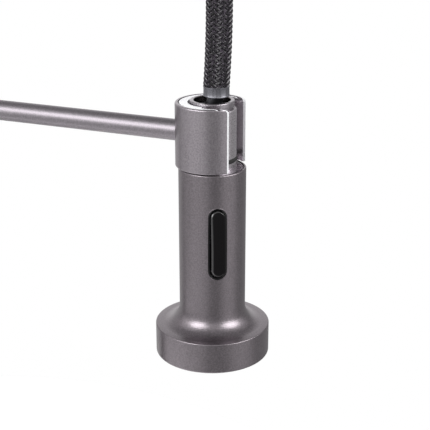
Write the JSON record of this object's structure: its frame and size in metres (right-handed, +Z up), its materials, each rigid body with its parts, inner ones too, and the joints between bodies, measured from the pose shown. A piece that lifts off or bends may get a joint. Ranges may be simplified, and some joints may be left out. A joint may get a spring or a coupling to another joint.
{
  "type": "pull down kitchen faucet",
  "caption": "Deck-mounted single-lever kitchen mixer with a spring arch and a pull-down spray head docked in a clip arm.",
  "frame": {"origin": "centre of the deck hole, on the column's axis at the deck's top face", "axes": "+Z up along the column, -Y towards the sink and the spray head, +X towards the lever"},
  "size_m": [0.1046, 0.2658, 0.5942],
  "materials": {
    "gunmetal": "satin bead-blasted gunmetal plating",
    "steel": "turned stainless steel",
    "spring_steel": "satin gunmetal spring wire",
    "brass": "machined brass",
    "black_gloss": "polished black plastic",
    "black_plastic": "moulded black plastic",
    "white_plastic": "moulded white acetal",
    "grey_plastic": "moulded grey plastic",
    "rubber": "matt black rubber",
    "braid": "glossy black nylon braid",
    "ceramic": "ground alumina ceramic",
    "ferrule_steel": "crimped plated steel"
  },
  "bodies": {
    "mixer_body": {"base_gasket": "rubber", "base_flange": "gunmetal", "body_shell": "gunmetal", "shank": "brass", "deck_rubber_washer": "rubber", "deck_steel_washer": "steel", "mounting_nut": "brass", "nut_screws": "steel", "cartridge_seals": "rubber", "cartridge_body": "grey_plastic", "ceramic_disc_fixed": "ceramic", "cartridge_nut": "brass", "bonnet": "gunmetal", "swivel_washer": "black_plastic", "retaining_screw": "steel"},
    "temperature_carrier": {"stem_carrier": "grey_plastic", "stem_pin": "steel"},
    "mixing_disc": {"ceramic_disc_moving": "ceramic"},
    "lever": {"lever_stem": "steel", "lever_cap": "gunmetal", "lever_bar": "gunmetal", "lever_screw": "steel", "lever_plug": "black_plastic"},
    "spout": {"swivel_sleeve": "gunmetal", "swivel_o_rings": "rubber", "column_tube": "gunmetal", "arm_collar": "gunmetal", "arm_set_screw": "steel", "dock_arm": "gunmetal", "dock_clip": "gunmetal", "clip_trim": "white_plastic", "clip_liner": "white_plastic", "spring_seat_collar": "gunmetal", "seat_collar_screw": "steel", "hose_tail_nut": "brass", "arch_hose": "braid", "arch_spring": "spring_steel"},
    "hose_end": {"spring_end_collar": "gunmetal", "end_collar_screw": "steel", "hose_lead": "braid", "hose_ferrule": "ferrule_steel", "hose_tail": "steel"},
    "spray_head": {"spray_shell": "gunmetal", "spray_neck": "gunmetal", "neck_ring": "rubber", "hose_nut": "ferrule_steel", "filter_washer": "rubber", "check_valve": "white_plastic", "inner_core": "grey_plastic", "rocker_bezel": "black_plastic", "rocker_pin": "steel", "diverter_spring": "steel", "face_gasket": "rubber", "face_ring": "gunmetal", "spray_face": "black_plastic", "spray_nozzles": "rubber", "aerator_body": "steel", "aerator_screen": "steel"},
    "spray_button": {"rocker": "black_gloss"},
    "spool": {"diverter_spool": "white_plastic"}
  },
  "joints": [
    {"name": "spout_swivel", "type": "hinge", "parent": "mixer_body", "child": "spout", "pos_m": [0, 0, 0.118], "axis": [0, 0, 1], "continuous": true},
    {"name": "temperature", "type": "hinge", "parent": "mixer_body", "child": "temperature_carrier", "pos_m": [0.046, 0, 0.062], "axis": [1, 0, 0], "range_deg": [-45, 45]},
    {"name": "lever_lift", "type": "hinge", "parent": "temperature_carrier", "child": "lever", "pos_m": [0.046, 0, 0.062], "axis": [0, 1, 0], "range_deg": [0, 25]},
    {"name": "disc_slide", "type": "slide", "parent": "temperature_carrier", "child": "mixing_disc", "axis": [0, 0, 1], "range_m": [0, 0.00427]},
    {"name": "pull_down", "type": "slide", "parent": "spout", "child": "hose_end", "axis": [0, 0, -1], "range_m": [0, 0.085], "stiffness_N_per_m": 60, "springref_m": -0.16, "deforming": ["arch_spring", "arch_hose"]},
    {"name": "head_spin", "type": "hinge", "parent": "hose_end", "child": "spray_head", "pos_m": [0, -0.21, 0.17], "axis": [0, 0, 1], "continuous": true},
    {"name": "spray_toggle", "type": "hinge", "parent": "spray_head", "child": "spray_button", "pos_m": [-0.00982, -0.21599, 0.2311], "axis": [0.521, -0.8536, 0], "range_deg": [0, 10]},
    {"name": "spool_slide", "type": "slide", "parent": "spray_head", "child": "spool", "axis": [0, 0, 1], "range_m": [0, 0.0016], "deforming": ["diverter_spring"]}
  ],
  "couplings": [
    {"joint": "lever_lift", "follows": "disc_slide", "rad_per_m": 102},
    {"joint": "spray_toggle", "follows": "spool_slide", "rad_per_m": 108.7}
  ]
}
